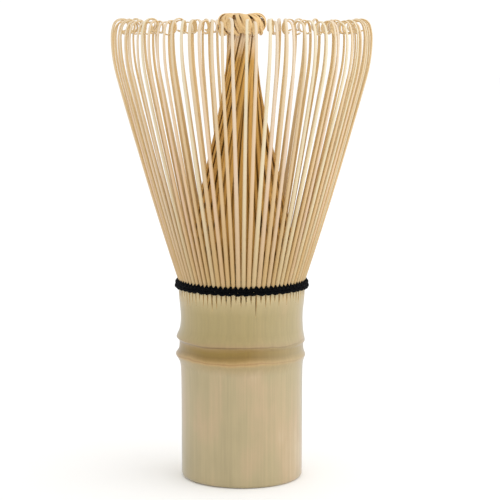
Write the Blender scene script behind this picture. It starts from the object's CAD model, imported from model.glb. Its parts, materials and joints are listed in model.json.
import json
import math
import random

import bpy
from mathutils import Euler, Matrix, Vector

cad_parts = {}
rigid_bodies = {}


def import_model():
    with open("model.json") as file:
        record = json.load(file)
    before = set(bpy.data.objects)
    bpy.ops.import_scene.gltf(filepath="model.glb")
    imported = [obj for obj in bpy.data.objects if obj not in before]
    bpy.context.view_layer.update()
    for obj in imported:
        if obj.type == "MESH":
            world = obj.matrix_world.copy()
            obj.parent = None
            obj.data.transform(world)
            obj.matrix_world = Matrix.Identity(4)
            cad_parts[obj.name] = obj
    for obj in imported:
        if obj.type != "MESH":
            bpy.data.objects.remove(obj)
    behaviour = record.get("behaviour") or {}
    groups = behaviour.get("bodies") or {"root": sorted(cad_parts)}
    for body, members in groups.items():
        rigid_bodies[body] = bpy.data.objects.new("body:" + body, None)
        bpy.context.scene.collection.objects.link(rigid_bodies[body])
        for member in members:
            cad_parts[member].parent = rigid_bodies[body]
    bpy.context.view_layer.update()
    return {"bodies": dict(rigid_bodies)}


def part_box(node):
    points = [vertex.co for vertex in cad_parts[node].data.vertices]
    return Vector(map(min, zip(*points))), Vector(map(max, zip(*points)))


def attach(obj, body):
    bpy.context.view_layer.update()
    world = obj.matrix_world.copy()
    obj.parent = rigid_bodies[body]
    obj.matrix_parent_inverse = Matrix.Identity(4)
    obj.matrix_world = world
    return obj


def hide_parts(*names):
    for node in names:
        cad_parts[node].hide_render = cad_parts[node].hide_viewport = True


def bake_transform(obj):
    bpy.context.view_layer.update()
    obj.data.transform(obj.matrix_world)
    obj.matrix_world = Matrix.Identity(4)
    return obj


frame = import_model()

# Bamboo tea whisk: handle culm, split tines and black thread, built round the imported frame.

mm = 0.001
scene = bpy.context.scene
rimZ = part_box("culm_handle")[1].z                      # top of the culm, where the wall is split
threadLow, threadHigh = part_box("thread_outer_turns")
threadZ = (threadLow.z + threadHigh.z) / 2
segments = sum(name.startswith("outer_segment") for name in frame["bodies"])
wedges = sum(name.startswith("inner_wedge") for name in frame["bodies"])
tinesPerSegment = 5
slitCount = segments * tinesPerSegment
pitch = math.tau / slitCount                           # angle from one outer tine to the next
frontAngle = -math.pi / 2                              # the first segment faces -Y


def addNode(tree, kind, links=None, **settings):       # one node, its settings, then its inputs
    node = tree.nodes.new(kind)
    for key, value in settings.items():
        setattr(node, key, value)
    for key, value in (links or {}).items():
        if isinstance(value, bpy.types.NodeSocket):
            tree.links.new(value, node.inputs[key])
        else:
            node.inputs[key].default_value = value
    return node


def linearColour(hexText, alpha=1.0):                  # an sRGB hex colour as linear values
    channels = [int(hexText[i:i + 2], 16) / 255 for i in (1, 3, 5)]
    return [c / 12.92 if c <= 0.04045 else ((c + 0.055) / 1.055) ** 2.4 for c in channels] + [alpha]


def fillRamp(node, stops):                             # stops are (position, hex colour)
    ramp = node.color_ramp
    while len(ramp.elements) < len(stops):
        ramp.elements.new(0.5)
    for element, (position, colour) in zip(ramp.elements, stops):
        element.position = position
        element.color = linearColour(colour)


def startMaterial(name, roughness, **finish):          # finish gives other sockets of the shader by name
    material = bpy.data.materials.new(name)
    material.use_nodes = True
    shader = material.node_tree.nodes["Principled BSDF"]
    shader.inputs["Roughness"].default_value = roughness
    for key, value in finish.items():
        shader.inputs[key.replace("_", " ")].default_value = value
    return material, material.node_tree, shader


def alongGrain(sizeMm, share):                         # a pattern's scale, drawn out along the culm
    scale = 1 / (sizeMm * mm)
    return scale, scale, scale * share


# ---- camera, floor and light ----

view = {
    "pitch": 7.6,            # degrees down
    "turn": -1.8,            # degrees round the whisk from straight in front
    "distance": 405 * mm,    # from the whisk's axis
    "lens": 124,
    "aimZ": 54.4 * mm,       # height at the middle of the picture
    "aimX": 1.95 * mm,       # the whisk stands a little left of the middle
    "nearClip": 10 * mm,
}


def makeCamera(s):
    data = bpy.data.cameras.new("camera")
    data.lens = s["lens"]
    data.clip_start = s["nearClip"]
    camera = bpy.data.objects.new("camera", data)
    scene.collection.objects.link(camera)
    pitchDown = math.radians(s["pitch"])
    turn = math.radians(s["turn"])
    place = Vector((s["aimX"], -s["distance"], s["aimZ"] + s["distance"] * math.tan(pitchDown)))
    place.rotate(Euler((0, 0, turn)))
    camera.location = place
    camera.rotation_euler = (math.pi / 2 - pitchDown, 0, turn)
    scene.camera = camera


studio = {
    "floorHalf": 3.0,
    "floorColour": "#FBFBFA",
    "skyColour": "#FFFFFF",
    "skyStrength": 1.06,     # an even white tent all round
    "lamps": [               # name, place, size, watts
        ("keySoftbox", (1.0, -0.22, 0.5), 1.8, 6.8),
    ],
    "lampsAim": (0, 0, 60 * mm),
}


def makeStudio(s):
    world = bpy.data.worlds.new("studioWhite")
    world.use_nodes = True
    background = world.node_tree.nodes["Background"]
    background.inputs["Color"].default_value = linearColour(s["skyColour"])
    background.inputs["Strength"].default_value = s["skyStrength"]
    scene.world = world
    scene.view_settings.view_transform = "Standard"

    half = s["floorHalf"]
    corners = [(-half, -half, 0), (half, -half, 0), (half, half, 0), (-half, half, 0)]
    mesh = bpy.data.meshes.new("floor")
    mesh.from_pydata(corners, [], [(0, 1, 2, 3)])
    floor = bpy.data.objects.new("floor", mesh)
    scene.collection.objects.link(floor)
    material, _, shader = startMaterial("paintedBoardPale", 0.85)         # matt white studio board
    shader.inputs["Base Color"].default_value = linearColour(s["floorColour"])
    mesh.materials.append(material)

    for name, place, size, watts in s["lamps"]:
        lamp = bpy.data.lights.new(name, "AREA")
        lamp.size = size
        lamp.energy = watts
        light = bpy.data.objects.new(name, lamp)
        scene.collection.objects.link(light)
        light.location = place
        light.rotation_euler = (Vector(s["lampsAim"]) - Vector(place)).to_track_quat("-Z", "Y").to_euler()


makeCamera(view)
makeStudio(studio)
print("camera and studio ready")

# ---- bamboo and thread materials ----

skinLook = {
    "base": [(0.0, "#A2946F"), (0.45, "#AD9D77"), (0.75, "#B7A07C"), (1.0, "#BFAC8A")],
    # up the band: orange and dark lines under the lower ridge, the node's golden valley, the dark line at
    # the upper ridge, the olive neck, and the cream feet of the tines
    "upTheCulm": [(0.0, "#A6946F"), (0.14, "#A79265"), (0.168, "#B69661"), (0.18, "#A07C49"),
                  (0.192, "#B08F57"), (0.222, "#8F7130"), (0.25, "#7E6114"), (0.3, "#866A1B"),
                  (0.335, "#927538"), (0.355, "#997E4A"), (0.368, "#775E35"), (0.38, "#A3895E"),
                  (0.43, "#A08D5B"), (0.5, "#9D8B58"), (0.74, "#A2905D"), (0.87, "#B4A070"),
                  (0.95, "#D0BB8A"), (1.0, "#DAC697")],
    "band": (26.8 * mm, 46.8 * mm),            # where the band's first and last colours are
    "wander": 1.6 * mm,                        # how far the band's lines wander up and down
    # how strong the band is, as from, to, strength before, strength after: first up the culm
    "bandIn": (27.5 * mm, 29.2 * mm, 0.0, 0.95),
    "bandOut": (34.2 * mm, 38 * mm, 1.0, 0.9),
    # then across the front, as the stain is strongest on the left, and its least strength above the node
    "stainIn": (-15 * mm, -9 * mm, 0.8, 1.0),
    "stainOut": (1 * mm, 13 * mm, 1.0, 0.42),
    "aboveNode": (34.2 * mm, 36.5 * mm, 0.0, 0.58),
    "patchMm": 9.0,          # size of the soft olive and pink patches
    "grainMm": 0.55,         # fibre lines, drawn coarser than the real 0.2 mm ones so that they show
    "grainShare": 0.16,      # how much the fibres count in the skin's colour beside the patches
    "roughness": 0.5,
    "sheen": "#D6E1F2",
}


def makeSkinMaterial(s):     # sun-dried bamboo skin: smooth, slightly waxy, fine fibre lines along the culm
    material, tree, shader = startMaterial("bambooSkinDried", s["roughness"], Coat_Weight=0.16,
                                           Coat_Roughness=0.5, Sheen_Weight=0.5, Sheen_Roughness=0.36,
                                           Sheen_Tint=linearColour(s["sheen"]))
    place = addNode(tree, "ShaderNodeTexCoord").outputs["Object"]
    wide = addNode(tree, "ShaderNodeMapping", {"Vector": place, "Scale": alongGrain(s["patchMm"], 0.45)})
    patches = addNode(tree, "ShaderNodeTexNoise",
                      {"Vector": wide.outputs[0], "Scale": 1.0, "Detail": 3.0, "Roughness": 0.5})
    long = addNode(tree, "ShaderNodeMapping", {"Vector": place, "Scale": alongGrain(s["grainMm"], 0.02)})
    fibres = addNode(tree, "ShaderNodeTexNoise",
                     {"Vector": long.outputs[0], "Scale": 1.0, "Detail": 4.0, "Roughness": 0.6})
    patchy = addNode(tree, "ShaderNodeMix",
                     {0: s["grainShare"], 2: patches.outputs[0], 3: fibres.outputs[0]})
    tint = addNode(tree, "ShaderNodeMapRange", {0: patchy.outputs[0], 1: 0.27, 2: 0.73})
    skin = addNode(tree, "ShaderNodeValToRGB", {0: tint.outputs[0]})
    fillRamp(skin, s["base"])

    parts = addNode(tree, "ShaderNodeSeparateXYZ", {0: place}).outputs
    wobble = addNode(tree, "ShaderNodeTexNoise", {"Vector": place, "Scale": 160.0, "Detail": 2.0})
    level = addNode(tree, "ShaderNodeMath", {0: wobble.outputs[0], 1: s["wander"], 2: parts["Z"]},
                    operation="MULTIPLY_ADD").outputs[0]
    band = addNode(tree, "ShaderNodeMapRange", {0: level, 1: s["band"][0], 2: s["band"][1]})
    bandColour = addNode(tree, "ShaderNodeValToRGB", {0: band.outputs[0]})
    fillRamp(bandColour, s["upTheCulm"])
    strengths = {}
    for key, value in (("bandIn", level), ("bandOut", level), ("aboveNode", level),
                       ("stainIn", parts["X"]), ("stainOut", parts["X"])):
        low, high, before, after = s[key]
        strengths[key] = addNode(tree, "ShaderNodeMapRange",
                                 {0: value, 1: low, 2: high, 3: before, 4: after}).outputs[0]
    inBand = addNode(tree, "ShaderNodeMath", {0: strengths["bandIn"], 1: strengths["bandOut"]},
                     operation="MULTIPLY")
    stain = addNode(tree, "ShaderNodeMath", {0: strengths["stainIn"], 1: strengths["stainOut"]},
                    operation="MULTIPLY")
    atLeast = addNode(tree, "ShaderNodeMath", {0: stain.outputs[0], 1: strengths["aboveNode"]},
                      operation="MAXIMUM")
    share = addNode(tree, "ShaderNodeMath", {0: inBand.outputs[0], 1: atLeast.outputs[0]},
                    operation="MULTIPLY")
    banded = addNode(tree, "ShaderNodeMix",
                     {0: share.outputs[0], 6: skin.outputs[0], 7: bandColour.outputs[0]}, data_type="RGBA")
    lift = addNode(tree, "ShaderNodeMapRange", {0: fibres.outputs[0], 1: 0.3, 2: 0.7, 3: 0.94, 4: 1.04})
    final = addNode(tree, "ShaderNodeMix", {0: 1.0, 6: banded.outputs[2], 7: lift.outputs[0]},
                    data_type="RGBA", blend_type="MULTIPLY")
    tree.links.new(final.outputs[2], shader.inputs["Base Color"])
    bump = addNode(tree, "ShaderNodeBump",
                   {"Strength": 0.25, "Distance": 0.045 * mm, "Height": fibres.outputs[0]})
    tree.links.new(bump.outputs[0], shader.inputs["Normal"])
    return material


cutLook = {
    "wood": "#D9C08F",
    "bundle": "#8E6B34",
    "bundleMm": 0.55,        # spacing of the fibre bundles seen on the cut end
    "roughness": 0.72,
}


def makeCutMaterial(s):      # sawn bamboo end grain: pale, matt, dotted with dark fibre bundles
    material, tree, shader = startMaterial("bambooCutEnd", s["roughness"])
    place = addNode(tree, "ShaderNodeTexCoord").outputs["Object"]
    spots = addNode(tree, "ShaderNodeTexVoronoi", {"Vector": place, "Scale": 1 / (s["bundleMm"] * mm)},
                    voronoi_dimensions="3D")
    dot = addNode(tree, "ShaderNodeMapRange", {0: spots.outputs["Distance"], 1: 0.16, 2: 0.42})
    colour = addNode(tree, "ShaderNodeMix",
                     {0: dot.outputs[0], 6: linearColour(s["bundle"]), 7: linearColour(s["wood"])},
                     data_type="RGBA")
    tree.links.new(colour.outputs[2], shader.inputs["Base Color"])
    bump = addNode(tree, "ShaderNodeBump",
                   {"Strength": 0.3, "Distance": 0.05 * mm, "Height": dot.outputs[0]})
    tree.links.new(bump.outputs[0], shader.inputs["Normal"])
    return material


pithLook = {
    "stops": [(0.0, "#C9A96B"), (0.5, "#D8BD86"), (1.0, "#E4CFA0")],
    "fibreMm": 0.4,
    "roughness": 0.8,
}


def makePithMaterial(s):     # the culm's inner wall: soft pale pith with long papery fibres
    material, tree, shader = startMaterial("bambooPithWall", s["roughness"])
    place = addNode(tree, "ShaderNodeTexCoord").outputs["Object"]
    long = addNode(tree, "ShaderNodeMapping", {"Vector": place, "Scale": alongGrain(s["fibreMm"], 0.05)})
    fibres = addNode(tree, "ShaderNodeTexNoise", {"Vector": long.outputs[0], "Scale": 1.0, "Detail": 3.0})
    colour = addNode(tree, "ShaderNodeValToRGB", {0: fibres.outputs[0]})
    fillRamp(colour, s["stops"])
    tree.links.new(colour.outputs[0], shader.inputs["Base Color"])
    bump = addNode(tree, "ShaderNodeBump",
                   {"Strength": 0.4, "Distance": 0.08 * mm, "Height": fibres.outputs[0]})
    tree.links.new(bump.outputs[0], shader.inputs["Normal"])
    return material


outerLook = {
    "name": "bambooTineOuter",
    # outer face from tine to tine, golden to pinkish to pale, and the shaved sides and inner face
    "skin": [(0.1, "#BC9860"), (0.32, "#D2AA72"), (0.52, "#D6B192"), (0.72, "#CEBC98"), (0.9, "#E2CDA2")],
    "flesh": [(0.1, "#B8955A"), (0.4, "#D2AE70"), (0.65, "#CBAF82"), (0.9, "#DEC696")],
    "root": "#B99C69",
    "rootUntil": 0.42,
    "tip": "#E9E1CC",
    "fleshTip": "#E6CB9A",
    "tipFrom": (0.12, 0.9, 0.56),      # where the tip's colours start and are full, and their share there
    "fibreMm": 0.16,
    "roughness": 0.5,
}
innerLook = {
    "name": "bambooTineInner",
    "skin": [(0.0, "#875C18"), (0.3, "#A67626"), (0.6, "#BC8D38"), (0.8, "#CB9944"), (1.0, "#D8B268")],
    "flesh": [(0.0, "#8C6122"), (0.5, "#B8883C"), (1.0, "#D6B06A")],
    "root": "#C7994A",
    "rootUntil": 0.42,
    "tip": "#F2DFC4",
    "fleshTip": "#ECCB94",
    "tipFrom": (0.84, 0.93, 0.74),
    "fibreMm": 0.16,
    "roughness": 0.58,
}


def makeTineMaterial(s):     # split and shaved bamboo: satin, straight fibres, palest on the skin face
    material, tree, shader = startMaterial(s["name"], s["roughness"])
    tone, skinSide, along = [addNode(tree, "ShaderNodeAttribute", attribute_name=name).outputs["Fac"]
                             for name in ("tone", "skinSide", "along")]
    place = addNode(tree, "ShaderNodeTexCoord").outputs["Object"]
    long = addNode(tree, "ShaderNodeMapping", {"Vector": place, "Scale": alongGrain(s["fibreMm"], 0.03)})
    fibres = addNode(tree, "ShaderNodeTexNoise", {"Vector": long.outputs[0], "Scale": 1.0, "Detail": 2.0})
    drift = addNode(tree, "ShaderNodeTexNoise", {"Vector": place, "Scale": 90.0, "Detail": 2.0})
    drifted = addNode(tree, "ShaderNodeMix", {0: 0.22, 2: tone, 3: drift.outputs[0]})
    shade = addNode(tree, "ShaderNodeMix", {0: 0.14, 2: drifted.outputs[0], 3: fibres.outputs[0]})
    skin = addNode(tree, "ShaderNodeValToRGB", {0: shade.outputs[0]})
    fillRamp(skin, s["skin"])
    flesh = addNode(tree, "ShaderNodeValToRGB", {0: shade.outputs[0]})
    fillRamp(flesh, s["flesh"])
    face = addNode(tree, "ShaderNodeMapRange", {0: skinSide, 1: 0.1, 2: 0.9})
    body = addNode(tree, "ShaderNodeMix", {0: face.outputs[0], 6: flesh.outputs[0], 7: skin.outputs[0]},
                   data_type="RGBA")
    nearRoot = addNode(tree, "ShaderNodeMapRange", {0: along, 1: 0.02, 2: s["rootUntil"], 3: 0.8, 4: 0.0})
    rooted = addNode(tree, "ShaderNodeMix",
                     {0: nearRoot.outputs[0], 6: body.outputs[2], 7: linearColour(s["root"])},
                     data_type="RGBA")
    start, full, most = s["tipFrom"]
    nearTip = addNode(tree, "ShaderNodeMapRange", {0: along, 1: start, 2: full, 3: 0.0, 4: most})
    tip = addNode(tree, "ShaderNodeMix",
                  {0: face.outputs[0], 6: linearColour(s["fleshTip"]), 7: linearColour(s["tip"])},
                  data_type="RGBA")
    colour = addNode(tree, "ShaderNodeMix", {0: nearTip.outputs[0], 6: rooted.outputs[2], 7: tip.outputs[2]},
                     data_type="RGBA")
    tree.links.new(colour.outputs[2], shader.inputs["Base Color"])
    bump = addNode(tree, "ShaderNodeBump",
                   {"Strength": 0.25, "Distance": 0.03 * mm, "Height": fibres.outputs[0]})
    tree.links.new(bump.outputs[0], shader.inputs["Normal"])
    return material


threadLook = {
    "dark": "#010101",
    "light": "#07080B",
    "sheen": "#7F9CC4",
    "fibreMm": 0.12,
    "roughness": 0.62,
}


def makeThreadMaterial(s):   # dyed, twisted, lightly waxed cotton: near black with a faint cool sheen
    material, tree, shader = startMaterial("cottonThreadBlack", s["roughness"], IOR=1.4,
                                           Specular_IOR_Level=0.07, Sheen_Weight=0.05, Sheen_Roughness=0.4,
                                           Sheen_Tint=linearColour(s["sheen"]))
    place = addNode(tree, "ShaderNodeTexCoord").outputs["Object"]
    fuzz = addNode(tree, "ShaderNodeTexNoise",
                   {"Vector": place, "Scale": 1 / (s["fibreMm"] * mm), "Detail": 3.0})
    colour = addNode(tree, "ShaderNodeMix",
                     {0: fuzz.outputs[0], 6: linearColour(s["dark"]), 7: linearColour(s["light"])},
                     data_type="RGBA")
    tree.links.new(colour.outputs[2], shader.inputs["Base Color"])
    bump = addNode(tree, "ShaderNodeBump",
                   {"Strength": 0.5, "Distance": 0.05 * mm, "Height": fuzz.outputs[0]})
    tree.links.new(bump.outputs[0], shader.inputs["Normal"])
    return material


skinMaterial = makeSkinMaterial(skinLook)
cutMaterial = makeCutMaterial(cutLook)
pithMaterial = makePithMaterial(pithLook)
outerMaterial = makeTineMaterial(outerLook)
innerMaterial = makeTineMaterial(innerLook)
threadMaterial = makeThreadMaterial(threadLook)
print("materials ready")

# ---- handle culm ----

handle = {
    "radius": 14.4 * mm,
    "splitFlare": 0.5 * mm,            # how much wider the culm is at the split
    "flareFrom": 38 * mm,
    "flareOver": 7 * mm,
    "lowerRidgeZ": 29.6 * mm,
    "upperRidgeZ": 33.4 * mm,
    "ridgeOut": 0.76 * mm,
    "upperRidgeShare": 0.8,            # the upper ridge stands out less
    "lowerRidgeFall": (1.25 * mm, 0.85 * mm),  # a ridge falls away over these heights below and above
    "upperRidgeFall": (0.5 * mm, 1.7 * mm),
    "ridgeTilt": 0.42 * mm,            # the upper ridge stands higher on the left than on the right
    "tiltFall": (2.6 * mm, 2.6 * mm),
    "ridgeLeft": 0.3,                  # how much more the ridges stand out on the left than on the right
    "nodeSwell": 0.3 * mm,             # the soft swelling that carries both ridges
    "nodeSwellFall": (4.5 * mm, 4.5 * mm),
    "footEdge": 0.9 * mm,
    "footEdgeSteps": 4,
    "footBore": 10.9 * mm,
    "neckBore": 11.2 * mm,
    "septum": (30.15 * mm, 32.55 * mm),
    "rimRise": 1.3 * mm,               # how far the split wall goes on up behind the thread
    "slitTop": threadZ - 0.5 * mm,     # the splits' lengths are counted down from here
    "slitLength": (2.5 * mm, 4.7 * mm),
    "longSlit": (2, 6.2 * mm),         # one split has run further: which one, and its length
    "slitDepth": 1.1 * mm,
    "slitHalf": 0.28 * mm,             # half width of a split at the thread
    "slitHalfSpread": (0.75, 1.3),
    "slitHalfEnd": 0.03 * mm,          # and below the place where it ends
    "outOfRound": 0.07 * mm,
    # up to each height, how far apart the rows of faces are, closest over the node
    "rowSteps": [(26 * mm, 2 * mm), (36 * mm, 0.2 * mm), (40.5 * mm, 0.9 * mm)],
    "splitRowStep": 0.33 * mm,
    "seed": 7,
}


def swellAt(z, at, out, below, above):     # a swelling that falls away over different heights below and above
    spread = above if z > at else below
    return out * math.exp(-abs((z - at) / spread) ** 1.6)


def ease(f):
    g = min(1.0, max(0.0, f))
    return g * g * (3 - 2 * g)


def plainRadius(s, z):                 # the culm without its node
    return s["radius"] + s["splitFlare"] * ease((z - s["flareFrom"]) / s["flareOver"])


def culmRadius(s, z):
    ridges = swellAt(z, s["lowerRidgeZ"], s["ridgeOut"], *s["lowerRidgeFall"])
    ridges += swellAt(z, s["upperRidgeZ"], s["ridgeOut"] * s["upperRidgeShare"], *s["upperRidgeFall"])
    swell = swellAt(z, (s["lowerRidgeZ"] + s["upperRidgeZ"]) / 2, s["nodeSwell"], *s["nodeSwellFall"])
    return plainRadius(s, z) + ridges + swell


def steps(low, high, step):
    count = max(1, round((high - low) / step))
    return [low + (high - low) * i / count for i in range(count)]


def makeCulm(s):
    rand = random.Random(s["seed"])
    lengths = [rand.uniform(*s["slitLength"]) for _ in range(slitCount)]
    which, length = s["longSlit"]
    lengths[which] = length
    halves = [s["slitHalf"] * rand.uniform(*s["slitHalfSpread"]) for _ in range(slitCount)]
    top = rimZ + s["rimRise"]
    outerZs, low = [], s["footEdge"]
    for high, step in s["rowSteps"] + [(top, s["splitRowStep"])]:
        outerZs += steps(low, high, step)
        low = high
    outerZs.append(top)
    # each pitch has eight columns: flat land, the split's two edges round its bottom, and land again
    landOffsets = [-0.5, -0.32, -0.16, None, None, None, 0.16, 0.32]
    leftEdge, bottom = 3, 4            # a wall of the split starts at each of these
    columns = [(k, i) for k in range(slitCount) for i in range(len(landOffsets))]
    verts, faces, kinds = [], [], []
    skin, cut, pith = 0, 1, 2

    def ring(z, plain, outside=False, split=False):    # one row of points; the outside is a little uneven
        row = []
        for k, i in columns:
            centre = frontAngle + (k + 0.5) * pitch
            radius, drop = plain, 0.0
            if landOffsets[i] is not None:
                angle = centre + landOffsets[i] * pitch
            else:
                opening = ease((z - (s["slitTop"] - lengths[k])) / lengths[k]) if split else 0.0
                half = (s["slitHalfEnd"] + halves[k] * opening) / s["radius"]
                angle = centre + (i - bottom) * half
                if i == bottom:
                    radius -= s["slitDepth"] * min(1.0, opening * 2.5)
            if outside:
                radius += (plain - plainRadius(s, z)) * -s["ridgeLeft"] * math.cos(angle)
                radius += s["outOfRound"] * (math.cos(2 * angle + 0.6) + 0.6 * math.cos(3 * angle + 2.0))
                drop = swellAt(z, s["upperRidgeZ"], s["ridgeTilt"], *s["tiltFall"]) * math.cos(angle)
            row.append(len(verts))
            verts.append((radius * math.cos(angle), radius * math.sin(angle), z - drop))
        return row

    def wall(low, high, kind):         # faces between two rows; inside a split they show the wood
        for c, (k, i) in enumerate(columns):
            d = (c + 1) % len(columns)
            faces.append((low[c], low[d], high[d], high[c]))
            inSlit = i in (leftEdge, bottom) and verts[low[c]][2] > s["slitTop"] - lengths[k] * 0.95
            kinds.append(pith if kind == skin and inSlit else kind)

    footRadius = culmRadius(s, 0)
    rows = [(ring(0, s["footBore"] + 0.15 * mm), cut), (ring(0, (s["footBore"] + footRadius) / 2), cut)]
    for i in range(s["footEdgeSteps"]):        # rounded edge of the sawn foot
        a = math.pi / 2 * i / s["footEdgeSteps"]
        rows.append((ring(s["footEdge"] * (1 - math.cos(a)),
                          footRadius - s["footEdge"] * (1 - math.sin(a)), outside=True), skin if i else cut))
    for z in outerZs:
        rows.append((ring(z, culmRadius(s, z), outside=True, split=True), skin))
    rows.append((ring(top, s["neckBore"] + 0.1 * mm), cut))
    septumLow, septumHigh = s["septum"]
    for z in (44 * mm, 40 * mm, 36 * mm, septumHigh + 0.6 * mm):       # down the neck's hollow
        rows.append((ring(z, s["neckBore"]), pith))
    for share, rise in ((0.93, 0.1), (0.6, -0.15), (0.25, -0.3)):      # the septum's dished upper face
        rows.append((ring(septumHigh + rise * mm, s["neckBore"] * share), pith))
    upperCentre = len(verts)
    verts.append((0, 0, septumHigh - 0.35 * mm))
    lower = []
    for share, rise in ((0.25, 0.25), (0.6, 0.1), (0.93, -0.1)):       # and its lower face
        lower.append((ring(septumLow + rise * mm, s["footBore"] * share), pith))
    for z in (septumLow - 0.7 * mm, 22 * mm, 12 * mm, 4 * mm, 0.2 * mm):   # down the foot's hollow
        lower.append((ring(z, s["footBore"]), pith))
    lowerCentre = len(verts)
    verts.append((0, 0, septumLow + 0.3 * mm))
    for run in (rows, lower):
        for (below, _), (above, kind) in zip(run, run[1:]):
            wall(below, above, kind)
    wall(lower[-1][0], rows[0][0], pith)
    upperRing, lowerRing = rows[-1][0], lower[0][0]
    for c in range(len(columns)):
        d = (c + 1) % len(columns)
        faces.extend([(upperRing[c], upperRing[d], upperCentre), (lowerRing[d], lowerRing[c], lowerCentre)])
        kinds.extend([pith, pith])

    mesh = bpy.data.meshes.new("culm")
    mesh.from_pydata(verts, [], faces)
    for material in (skinMaterial, cutMaterial, pithMaterial):
        mesh.materials.append(material)
    mesh.polygons.foreach_set("material_index", kinds)
    mesh.shade_smooth()
    mesh.set_sharp_from_angle(angle=math.radians(42))
    culm = bpy.data.objects.new("handleCulm", mesh)
    scene.collection.objects.link(culm)
    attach(culm, "handle")
    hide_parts("culm_handle")


makeCulm(handle)
print("handle ready")

# ---- tines ----

def outward(a):                        # unit side step of a line that leans by a from upright
    return Vector((math.cos(a), -math.sin(a)))


def arcPoints(start, radius, a0, a1, count):   # a positive radius turns towards the axis
    middle = start - radius * outward(a0)
    return [middle + radius * outward(a0 + (a1 - a0) * i / count) for i in range(1, count + 1)]


def spineObject(name, points, curlFrom, thick):    # edges in the XZ plane, carrying what the tree reads
    lengths = [0.0]
    for a, b in zip(points, points[1:]):
        lengths.append(lengths[-1] + (b - a).length)
    last = len(points) - 1
    mesh = bpy.data.meshes.new(name)
    mesh.from_pydata([(p.x, 0, p.y) for p in points], [(i, i + 1) for i in range(last)], [])
    carried = {
        "along": [length / lengths[-1] for length in lengths],
        "curl": [max(0.0, i - curlFrom) / (last - curlFrom) for i in range(last + 1)],
        "thick": thick,
    }
    for key, values in carried.items():
        mesh.attributes.new(key, "FLOAT", "POINT").data.foreach_set("value", values)
    spine = bpy.data.objects.new(name, mesh)
    scene.collection.objects.link(spine)
    return spine


def mixed(a, b, f):
    return a + (b - a) * f


outerTine = {
    "root": (14.15 * mm, 45.2 * mm),
    "start": (14.45 * mm, 46.9 * mm),
    "lean": 18.4,
    # arcs up the tine: radius, the lean that each ends at, steps
    "shaft": (875 * mm, 15.1, 7),
    "bend": [(34 * mm, 0, 5), (10 * mm, -17, 3)],
    "curl": [(2.1 * mm, -90, 4), (1.6 * mm, -180, 5), (1.25 * mm, -310, 7)],
    "rootThickness": 1.05 * mm,
    "bendThickness": 0.5 * mm,
    "tipThickness": 0.32 * mm,
}


def addArcs(points, lean, arcs):       # arcs are (radius, the lean at its end, steps)
    for radius, endLean, count in arcs:
        points += arcPoints(points[-1], radius, math.radians(lean), math.radians(endLean), count)
        lean = endLean


def outerSpine(s):
    points = [Vector(s["root"]), (Vector(s["root"]) + Vector(s["start"])) / 2, Vector(s["start"])]
    addArcs(points, s["lean"], [s["shaft"]])
    shaftCount = len(points)
    addArcs(points, s["shaft"][1], s["bend"])
    bendCount = len(points)
    addArcs(points, s["bend"][-1][1], s["curl"])
    thick = []
    for i in range(len(points)):
        if i < shaftCount:
            thick.append(mixed(s["rootThickness"], s["bendThickness"], i / (shaftCount - 1)))
        else:
            share = min(1.0, (i - shaftCount + 1) / (bendCount - shaftCount))
            thick.append(mixed(s["bendThickness"], s["tipThickness"], share))
    return spineObject("outerSpine", points, bendCount - 1, thick)


tineInputs = {                         # a tine tree's inputs and their defaults
    "Tines": 5,
    "Seed": 1,
    "First Angle": 0.0,
    "Spread": 0.08,
    "Angle Jitter": 0.0,
    "Swirl": 0.0,
    "Swirl Swing": 0.0,
    "Swirl Most At": 0.0,
    "Lean Jitter": 0.0,
    "Sway": 0.0,
    "Length Jitter": 0.0,
    "Curl Twist": 0.0,
    "Tip Radius": 0.03,
    "Root Height": 0.047,
    "Tip Height": 0.108,
    "Rise Power": 1.6,
    "Swirl Power": 2.0,
    "Root Width": 0.001,
    "Tip Width": 0.001,
    "Width Jitter": 0.1,
    "Curl Width": 1.0,
    "Curl Swirl": 0.0,
    "Darkest": 0.0,
    "Palest": 1.0,
    "Material": None,
}
socketKinds = {int: "NodeSocketInt", float: "NodeSocketFloat", type(None): "NodeSocketMaterial"}


def startTree(name, inputs):           # a tree with its named inputs, and what they give
    tree = bpy.data.node_groups.new(name, "GeometryNodeTree")
    tree.interface.new_socket("Geometry", in_out="INPUT", socket_type="NodeSocketGeometry")
    for key, default in inputs.items():
        socket = tree.interface.new_socket(key, in_out="INPUT", socket_type=socketKinds[type(default)])
        if default is not None:
            socket.default_value = default
    tree.interface.new_socket("Geometry", in_out="OUTPUT", socket_type="NodeSocketGeometry")
    return tree, addNode(tree, "NodeGroupInput").outputs


def endTree(tree, geometry, material):
    smooth = addNode(tree, "GeometryNodeSetShadeSmooth", {"Geometry": geometry})
    real = addNode(tree, "GeometryNodeRealizeInstances", {"Geometry": smooth.outputs[0]})
    painted = addNode(tree, "GeometryNodeSetMaterial", {"Geometry": real.outputs[0], "Material": material})
    addNode(tree, "NodeGroupOutput", {"Geometry": painted.outputs[0]})


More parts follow.
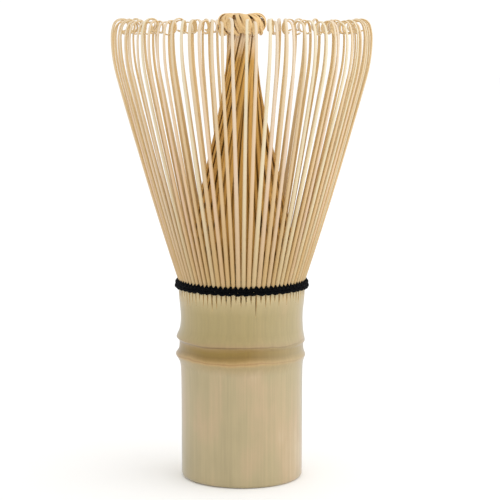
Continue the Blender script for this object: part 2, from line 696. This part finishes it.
def buildTineTree():
    tree, given = startTree("splitTines", tineInputs)
    curve = addNode(tree, "GeometryNodeMeshToCurve", {"Mesh": given["Geometry"]})
    copies = addNode(tree, "GeometryNodeDuplicateElements",
                     {"Geometry": curve.outputs[0], "Amount": given["Tines"]}, domain="SPLINE")
    number = copies.outputs["Duplicate Index"]
    along, curl, thick = [addNode(tree, "GeometryNodeInputNamedAttribute", {"Name": name},
                                  data_type="FLOAT").outputs[0] for name in ("along", "curl", "thick")]
    place = addNode(tree, "GeometryNodeInputPosition").outputs[0]
    parts = addNode(tree, "ShaderNodeSeparateXYZ", {0: place}).outputs

    # three random numbers for the way a tine stands, three for its twist, turn and width, one for its tone
    shapeSeed, toneSeed = [addNode(tree, "ShaderNodeMath", {0: given["Seed"], 1: step},
                                   operation="ADD").outputs[0] for step in (1000.0, 2000.0)]
    stand, shape = [addNode(tree, "FunctionNodeRandomValue",
                            {0: (-1, -1, -1), 1: (1, 1, 1), "ID": number, "Seed": seed},
                            data_type="FLOAT_VECTOR").outputs[0] for seed in (given["Seed"], shapeSeed)]
    shapeParts = addNode(tree, "ShaderNodeSeparateXYZ", {0: shape}).outputs
    tone = addNode(tree, "FunctionNodeRandomValue",
                   {2: given["Darkest"], 3: given["Palest"], "ID": number, "Seed": toneSeed},
                   data_type="FLOAT").outputs[1]

    # how much of the unevenness and of the swirl is felt at each height
    upward = addNode(tree, "ShaderNodeMapRange",
                     {0: parts["Z"], 1: given["Root Height"], 2: given["Tip Height"]}).outputs[0]
    rise, wind = [addNode(tree, "ShaderNodeMath", {0: upward, 1: given[power]}, operation="POWER").outputs[0]
                  for power in ("Rise Power", "Swirl Power")]
    reach = addNode(tree, "ShaderNodeCombineXYZ",
                    {0: given["Lean Jitter"], 1: given["Sway"], 2: given["Length Jitter"]}).outputs[0]
    drift = addNode(tree, "ShaderNodeVectorMath", {0: stand, 1: reach}, operation="MULTIPLY").outputs[0]
    drift = addNode(tree, "ShaderNodeVectorMath", {0: drift, "Scale": rise}, operation="SCALE").outputs[0]

    # the curl is screwed sideways as it winds in
    inset = addNode(tree, "ShaderNodeMath", {0: given["Tip Radius"], 1: parts["X"]},
                    operation="SUBTRACT").outputs[0]
    twist = addNode(tree, "ShaderNodeMath", {0: shapeParts["X"], 1: given["Curl Twist"]},
                    operation="MULTIPLY").outputs[0]
    curlStart = addNode(tree, "ShaderNodeMapRange", {0: curl, 1: 0.0, 2: 0.25}).outputs[0]
    twistNow = addNode(tree, "ShaderNodeMath", {0: twist, 1: curlStart}, operation="MULTIPLY").outputs[0]
    sideways = addNode(tree, "ShaderNodeMath", {0: inset, 1: twistNow}, operation="MULTIPLY").outputs[0]
    screw = addNode(tree, "ShaderNodeCombineXYZ", {1: sideways}).outputs[0]
    bent = addNode(tree, "ShaderNodeVectorMath", {0: place, 1: drift}, operation="ADD").outputs[0]
    bent = addNode(tree, "ShaderNodeVectorMath", {0: bent, 1: screw}, operation="ADD").outputs[0]

    # the turn about the whisk's axis: the tine's own place, then swirl, pinwheel and jitter
    turn = addNode(tree, "ShaderNodeMath", {0: number, 1: given["Spread"], 2: given["First Angle"]},
                   operation="MULTIPLY_ADD").outputs[0]
    jitter = addNode(tree, "ShaderNodeMath", {0: shapeParts["Y"], 1: given["Angle Jitter"]},
                     operation="MULTIPLY").outputs[0]
    fromMost = addNode(tree, "ShaderNodeMath", {0: turn, 1: given["Swirl Most At"]},
                       operation="SUBTRACT").outputs[0]
    swing = addNode(tree, "ShaderNodeMath", {0: fromMost}, operation="COSINE").outputs[0]
    swirl = addNode(tree, "ShaderNodeMath", {0: swing, 1: given["Swirl Swing"], 2: given["Swirl"]},
                    operation="MULTIPLY_ADD").outputs[0]
    for amount, felt in ((swirl, wind), (curl, given["Curl Swirl"]), (jitter, rise)):
        turn = addNode(tree, "ShaderNodeMath", {0: amount, 1: felt, 2: turn},
                       operation="MULTIPLY_ADD").outputs[0]
    turned, across = [addNode(tree, "ShaderNodeVectorRotate", {"Vector": vector, "Angle": turn},
                              rotation_type="Z_AXIS").outputs[0] for vector in (bent, (0, 1, 0))]

    # the side direction is kept before the points move, because the turn is read from where they were
    kept = addNode(tree, "GeometryNodeCaptureAttribute", domain="POINT")
    kept.capture_items.new("VECTOR", "across")
    tree.links.new(copies.outputs[0], kept.inputs["Geometry"])
    tree.links.new(across, kept.inputs["across"])
    side = kept.outputs["across"]
    moved = addNode(tree, "GeometryNodeSetPosition", {"Geometry": kept.outputs[0], "Position": turned})
    framed = addNode(tree, "GeometryNodeSetCurveNormal", {"Curve": moved.outputs[0], "Normal": side},
                     mode="FREE")
    tangent = addNode(tree, "GeometryNodeInputTangent").outputs[0]
    outside = addNode(tree, "ShaderNodeVectorMath", {0: side, 1: tangent},
                      operation="CROSS_PRODUCT").outputs[0]
    width = addNode(tree, "ShaderNodeMapRange",
                    {0: along, 1: 0.0, 2: 1.0, 3: given["Root Width"], 4: given["Tip Width"]}).outputs[0]
    wider = addNode(tree, "ShaderNodeMath", {0: shapeParts["Z"], 1: given["Width Jitter"], 2: 1.0},
                    operation="MULTIPLY_ADD").outputs[0]
    curlWidth = addNode(tree, "ShaderNodeMapRange",
                        {0: curl, 1: 0.0, 2: 0.7, 3: 1.0, 4: given["Curl Width"]}).outputs[0]
    halfWidth = 0.5
    for factor in (curlWidth, wider, width):
        halfWidth = addNode(tree, "ShaderNodeMath", {0: factor, 1: halfWidth},
                            operation="MULTIPLY").outputs[0]
    halfThick = addNode(tree, "ShaderNodeMath", {0: thick, 1: 0.5}, operation="MULTIPLY").outputs[0]
    spine = addNode(tree, "GeometryNodeCaptureAttribute", domain="POINT")
    for kind, name, value in (("VECTOR", "spine", place), ("VECTOR", "outside", outside),
                              ("FLOAT", "halfWidth", halfWidth), ("FLOAT", "halfThick", halfThick),
                              ("FLOAT", "tone", tone)):
        spine.capture_items.new(kind, name)
        tree.links.new(value, spine.inputs[name])
    tree.links.new(framed.outputs[0], spine.inputs["Geometry"])

    # a square with cut corners is swept along each spine, then stretched to the tine's width and thickness
    square = addNode(tree, "GeometryNodeCurvePrimitiveQuadrilateral", {"Width": 2.0, "Height": 2.0})
    rounded = addNode(tree, "GeometryNodeFilletCurve",
                      {"Curve": square.outputs[0], "Radius": 0.55, "Count": 1}, mode="POLY")
    swept = addNode(tree, "GeometryNodeCurveToMesh",
                    {"Curve": spine.outputs[0], "Profile Curve": rounded.outputs[0], "Fill Caps": True})
    offset = addNode(tree, "ShaderNodeVectorMath", {0: place, 1: spine.outputs["spine"]},
                     operation="SUBTRACT").outputs[0]
    whole = spine.outputs["spine"]
    for direction, half in ((side, "halfWidth"), (spine.outputs["outside"], "halfThick")):
        share = addNode(tree, "ShaderNodeVectorMath", {0: offset, 1: direction},
                        operation="DOT_PRODUCT").outputs["Value"]
        length = addNode(tree, "ShaderNodeMath", {0: share, 1: spine.outputs[half]},
                         operation="MULTIPLY").outputs[0]
        step = addNode(tree, "ShaderNodeVectorMath", {0: direction, "Scale": length},
                       operation="SCALE").outputs[0]
        whole = addNode(tree, "ShaderNodeVectorMath", {0: whole, 1: step}, operation="ADD").outputs[0]
    marked = swept                     # the last share tells the skin face from the others
    for name, value in (("skinSide", share), ("tone", spine.outputs["tone"])):
        marked = addNode(tree, "GeometryNodeStoreNamedAttribute",
                         {"Geometry": marked.outputs[0], "Name": name, "Value": value}, data_type="FLOAT")
    shaped = addNode(tree, "GeometryNodeSetPosition", {"Geometry": marked.outputs[0], "Position": whole})
    endTree(tree, shaped.outputs[0], given["Material"])
    return tree


def runTree(tree, source, name, values):   # the tree's result on a copy of source, as a plain mesh object
    worker = bpy.data.objects.new(name + "Worker", source.data)
    scene.collection.objects.link(worker)
    modifier = worker.modifiers.new("tree", "NODES")
    modifier.node_group = tree
    sockets = {item.name: item.identifier for item in tree.interface.items_tree if item.in_out == "INPUT"}
    for key, value in values.items():
        modifier[sockets[key]] = value
    bpy.context.view_layer.update()
    done = worker.evaluated_get(bpy.context.evaluated_depsgraph_get())
    mesh = bpy.data.meshes.new_from_object(done)
    bpy.data.objects.remove(worker)
    mesh.name = name
    piece = bpy.data.objects.new(name, mesh)
    scene.collection.objects.link(piece)
    return piece


def joined(pieces, name):              # several meshes as one object
    with bpy.context.temp_override(active_object=pieces[0], selected_editable_objects=pieces):
        bpy.ops.object.join()
    pieces[0].name = name
    return pieces[0]


outerComb = {
    "Tines": tinesPerSegment,
    "Spread": pitch,
    "Angle Jitter": math.radians(1.5),
    "Lean Jitter": 0.5 * mm,
    "Sway": 0.65 * mm,
    "Length Jitter": 0.45 * mm,
    "Curl Twist": 0.3,
    "Curl Width": 1.1,
    "Tip Radius": 30.2 * mm,
    "Rise Power": 1.5,
    "Root Height": 47.5 * mm,
    "Tip Height": 107 * mm,
    "Root Width": 1.04 * mm,
    "Tip Width": 0.6 * mm,
    "Width Jitter": 0.12,
}


def makeOuterTines(tree, spine, comb):
    for k in range(segments):
        centre = frontAngle + k * math.tau / segments
        values = dict(comb)
        values["Seed"] = 31 + k
        values["First Angle"] = centre - (tinesPerSegment - 1) / 2 * pitch
        values["Material"] = outerMaterial
        piece = runTree(tree, spine, f"outerTines{k + 1:02d}", values)
        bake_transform(piece)
        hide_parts(f"outer_tines_{k + 1:02d}")


tineTree = buildTineTree()
outerLine = outerSpine(outerTine)
makeOuterTines(tineTree, outerLine, outerComb)
bpy.data.objects.remove(outerLine)
print("outer tines ready")

innerTine = {
    "rootZ": 45.0 * mm,
    "thickness": 0.36 * mm,
    "tipThickness": 0.28 * mm,
    "shaftSteps": 12,
    # the hook turns outward, runs nearly level, comes down and turns back in: radius as a share of the
    # layer's hook size, the lean at the arc's end, steps
    "hook": [(-1.6, 72, 4), (-3.6, 100, 3), (-1.8, 170, 4), (-2.0, 235, 4)],
}
# the four layers of a wedge, outside first: root and neck radius, height of the neck, hook size, tines,
# degrees between them, how far the layer is turned, and its darkest and palest tone
innerLayers = [
    {"root": 12.8 * mm, "neck": 3.1 * mm, "neckZ": 105.8 * mm, "hook": 0.44 * mm,
     "tines": 3, "spread": 15.0, "turn": 0.0, "seed": 201, "tones": (0.4, 1.0)},
    {"root": 12.5 * mm, "neck": 2.4 * mm, "neckZ": 106.5 * mm, "hook": 0.65 * mm,
     "tines": 3, "spread": 15.0, "turn": 7.5, "seed": 301, "tones": (0.25, 0.85)},
    {"root": 12.1 * mm, "neck": 1.7 * mm, "neckZ": 107.2 * mm, "hook": 0.86 * mm,
     "tines": 3, "spread": 15.0, "turn": 3.0, "seed": 401, "tones": (0.15, 0.7)},
    {"root": 11.8 * mm, "neck": 0.75 * mm, "neckZ": 107.9 * mm, "hook": 1.08 * mm,
     "tines": 4, "spread": 11.25, "turn": 2.0, "seed": 501, "tones": (0.3, 1.0)},
]
innerComb = {
    "Angle Jitter": math.radians(3),
    "Lean Jitter": 0.3 * mm,
    "Sway": 0.2 * mm,
    "Length Jitter": 0.3 * mm,
    "Curl Twist": 0.12,
    "Rise Power": 2.0,
    "Root Height": 50 * mm,
    "Tip Height": 105 * mm,
    "Root Width": 1.0 * mm,
    "Tip Width": 0.64 * mm,
    "Width Jitter": 0.12,
    "Curl Width": 1.5,
    "Curl Swirl": math.radians(34),    # the hooks lie over each other like a pinwheel
    "Swirl Power": 4.5,
    "Swirl": math.radians(60),         # the bunch is twisted, more on its left than on its right
    "Swirl Swing": math.radians(13),
    "Swirl Most At": math.radians(-145),
}


def innerSpine(s, layer):
    root = Vector((layer["root"], s["rootZ"]))
    neck = Vector((layer["neck"], layer["neckZ"]))
    points = []                        # upright at the root and at the neck, leaning in between
    for i in range(s["shaftSteps"] + 1):
        f = i / s["shaftSteps"]
        points.append(Vector((mixed(root.x, neck.x, ease(f)), mixed(root.y, neck.y, f))))
    shaftCount = len(points)
    addArcs(points, 0, [(share * layer["hook"], end, count) for share, end, count in s["hook"]])
    thick = [s["thickness"] if i < shaftCount - 1 else s["tipThickness"] for i in range(len(points))]
    return spineObject("innerSpine", points, shaftCount - 1, thick)


def makeInnerTines(tree, s, layers, comb):
    spines = [innerSpine(s, layer) for layer in layers]
    for w in range(wedges):
        centre = frontAngle + (2 * w + 0.5) * math.tau / segments
        bunches = []
        for layer, spine in zip(layers, spines):
            values = dict(comb)
            values["Tines"] = layer["tines"]
            values["Seed"] = layer["seed"] + w
            values["Spread"] = math.radians(layer["spread"])
            first = centre - (layer["tines"] - 1) / 2 * values["Spread"]
            values["First Angle"] = first + math.radians(layer["turn"])
            values["Tip Radius"] = layer["neck"]
            values["Darkest"], values["Palest"] = layer["tones"]
            values["Material"] = innerMaterial
            bunches.append(runTree(tree, spine, f"innerLayer{w}{layer['seed']}", values))
        piece = joined(bunches, f"innerTines{w + 1}")
        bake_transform(piece)
        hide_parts(f"inner_tines_{2 * w + 1:02d}", f"inner_tines_{2 * w + 2:02d}")
    for spine in spines:
        bpy.data.objects.remove(spine)


makeInnerTines(tineTree, innerTine, innerLayers, innerComb)
print("inner tines ready")

# ---- thread ----

plyInputs = {                          # a ply tree's inputs and their defaults
    "Points": 960,
    "Radius": 0.0155,
    "Height": 0.0468,
    "Waves": 80.0,
    "Wave Phase": 0.0,
    "Wave Sharpness": 1.0,
    "Wave Out": 0.0,
    "Wave Up": 0.0,
    "Twists": 110.0,
    "Ply Offset": 0.0002,
    "Ply Radius": 0.0002,
    "Ply Sides": 7,
    "Unevenness": 0.0,
    "Drift Scale": 8.0,
    "Phase": 0.0,
    "Material": None,
}


def buildPlyTree():                    # a closed ring that waves with the tines and twists about its own line
    tree, given = startTree("threadPly", plyInputs)
    circle = addNode(tree, "GeometryNodeCurvePrimitiveCircle", {"Resolution": given["Points"], "Radius": 1.0})
    number = addNode(tree, "GeometryNodeInputIndex").outputs[0]
    share = addNode(tree, "ShaderNodeMath", {0: number, 1: given["Points"]}, operation="DIVIDE").outputs[0]
    angle = addNode(tree, "ShaderNodeMath", {0: share, 1: math.tau}, operation="MULTIPLY").outputs[0]
    waveAngle, twistAngle = [addNode(tree, "ShaderNodeMath", {0: angle, 1: given[count], 2: given[phase]},
                                     operation="MULTIPLY_ADD").outputs[0]
                             for count, phase in (("Waves", "Wave Phase"), ("Twists", "Phase"))]
    wave = addNode(tree, "ShaderNodeMath", {0: waveAngle}, operation="COSINE").outputs[0]
    wave = addNode(tree, "ShaderNodeMath", {0: wave, 1: 0.5, 2: 0.5}, operation="MULTIPLY_ADD").outputs[0]
    wave = addNode(tree, "ShaderNodeMath", {0: wave, 1: given["Wave Sharpness"]},
                   operation="POWER").outputs[0]
    reached = []                       # radius, then height: the run's own, its wave, and the ply about it
    for own, swing, part in (("Radius", "Wave Out", "COSINE"), ("Height", "Wave Up", "SINE")):
        waved = addNode(tree, "ShaderNodeMath", {0: wave, 1: given[swing], 2: given[own]},
                        operation="MULTIPLY_ADD").outputs[0]
        about = addNode(tree, "ShaderNodeMath", {0: twistAngle}, operation=part).outputs[0]
        reached.append(addNode(tree, "ShaderNodeMath", {0: about, 1: given["Ply Offset"], 2: waved},
                               operation="MULTIPLY_ADD").outputs[0])
    radius, height = reached
    # a hand-wound cord wanders a little up and down
    around = addNode(tree, "ShaderNodeVectorRotate", {"Vector": (1, 0, 0), "Angle": angle},
                     rotation_type="Z_AXIS").outputs[0]
    wander = addNode(tree, "ShaderNodeTexNoise",
                     {"Vector": around, "Scale": given["Drift Scale"], "Detail": 1.0}).outputs[0]
    wander = addNode(tree, "ShaderNodeMath", {0: wander, 1: 0.5}, operation="SUBTRACT").outputs[0]
    height = addNode(tree, "ShaderNodeMath", {0: wander, 1: given["Unevenness"], 2: height},
                     operation="MULTIPLY_ADD").outputs[0]
    flat = addNode(tree, "ShaderNodeCombineXYZ", {0: radius, 2: height}).outputs[0]
    place = addNode(tree, "ShaderNodeVectorRotate", {"Vector": flat, "Angle": angle},
                    rotation_type="Z_AXIS").outputs[0]
    moved = addNode(tree, "GeometryNodeSetPosition", {"Geometry": circle.outputs[0], "Position": place})
    section = addNode(tree, "GeometryNodeCurvePrimitiveCircle",
                      {"Resolution": given["Ply Sides"], "Radius": given["Ply Radius"]})
    tube = addNode(tree, "GeometryNodeCurveToMesh",
                   {"Curve": moved.outputs[0], "Profile Curve": section.outputs[0]})
    endTree(tree, tube.outputs[0], given["Material"])
    return tree


threadCords = [                        # the lacing's runs, each of two plies twisted together
    {"name": "threadLower", "Radius": 15.5 * mm, "Height": 46.3 * mm, "Waves": 53.0,
     "Wave Out": 0.08 * mm, "Wave Up": -0.22 * mm, "Twists": 106.0, "replaces": None},
    {"name": "threadMiddle", "Radius": 15.3 * mm, "Height": 46.75 * mm, "Waves": 31.0,
     "Wave Out": 0.1 * mm, "Wave Up": 0.1 * mm, "Twists": 97.0, "replaces": None},
    {"name": "threadUpper", "Radius": 15.45 * mm, "Height": 47.0 * mm, "Waves": 80.0,
     "Wave Phase": math.pi, "Wave Sharpness": 2.0, "Wave Out": -0.5 * mm, "Wave Up": 0.62 * mm,
     "Twists": 133.0, "replaces": "thread_outer_turns"},
    {"name": "threadInner", "Radius": 13.3 * mm, "Height": 48.5 * mm, "Waves": 40.0,
     "Wave Out": 0.15 * mm, "Wave Up": 0.25 * mm, "Twists": 90.0, "replaces": "thread_inner_turn"},
]
threadPly = {
    "Ply Offset": 0.17 * mm,
    "Ply Radius": 0.245 * mm,
    "Points": 1280,
    "Unevenness": 0.5 * mm,
    "Drift Scale": 9.0,
}


def makeThread(tree, cords, ply):
    blank = bpy.data.objects.new("blank", bpy.data.meshes.new("blank"))
    scene.collection.objects.link(blank)
    for cord in cords:
        plies = []
        for i in range(2):
            values = {key: value for key, value in cord.items() if key not in ("name", "replaces")}
            values.update(ply)
            values["Phase"] = math.pi * i
            values["Material"] = threadMaterial
            plies.append(runTree(tree, blank, cord["name"] + str(i), values))
        piece = joined(plies, cord["name"])
        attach(piece, "handle")
        if cord["replaces"]:
            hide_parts(cord["replaces"])
    bpy.data.objects.remove(blank)


makeThread(buildPlyTree(), threadCords, threadPly)
print("thread ready")
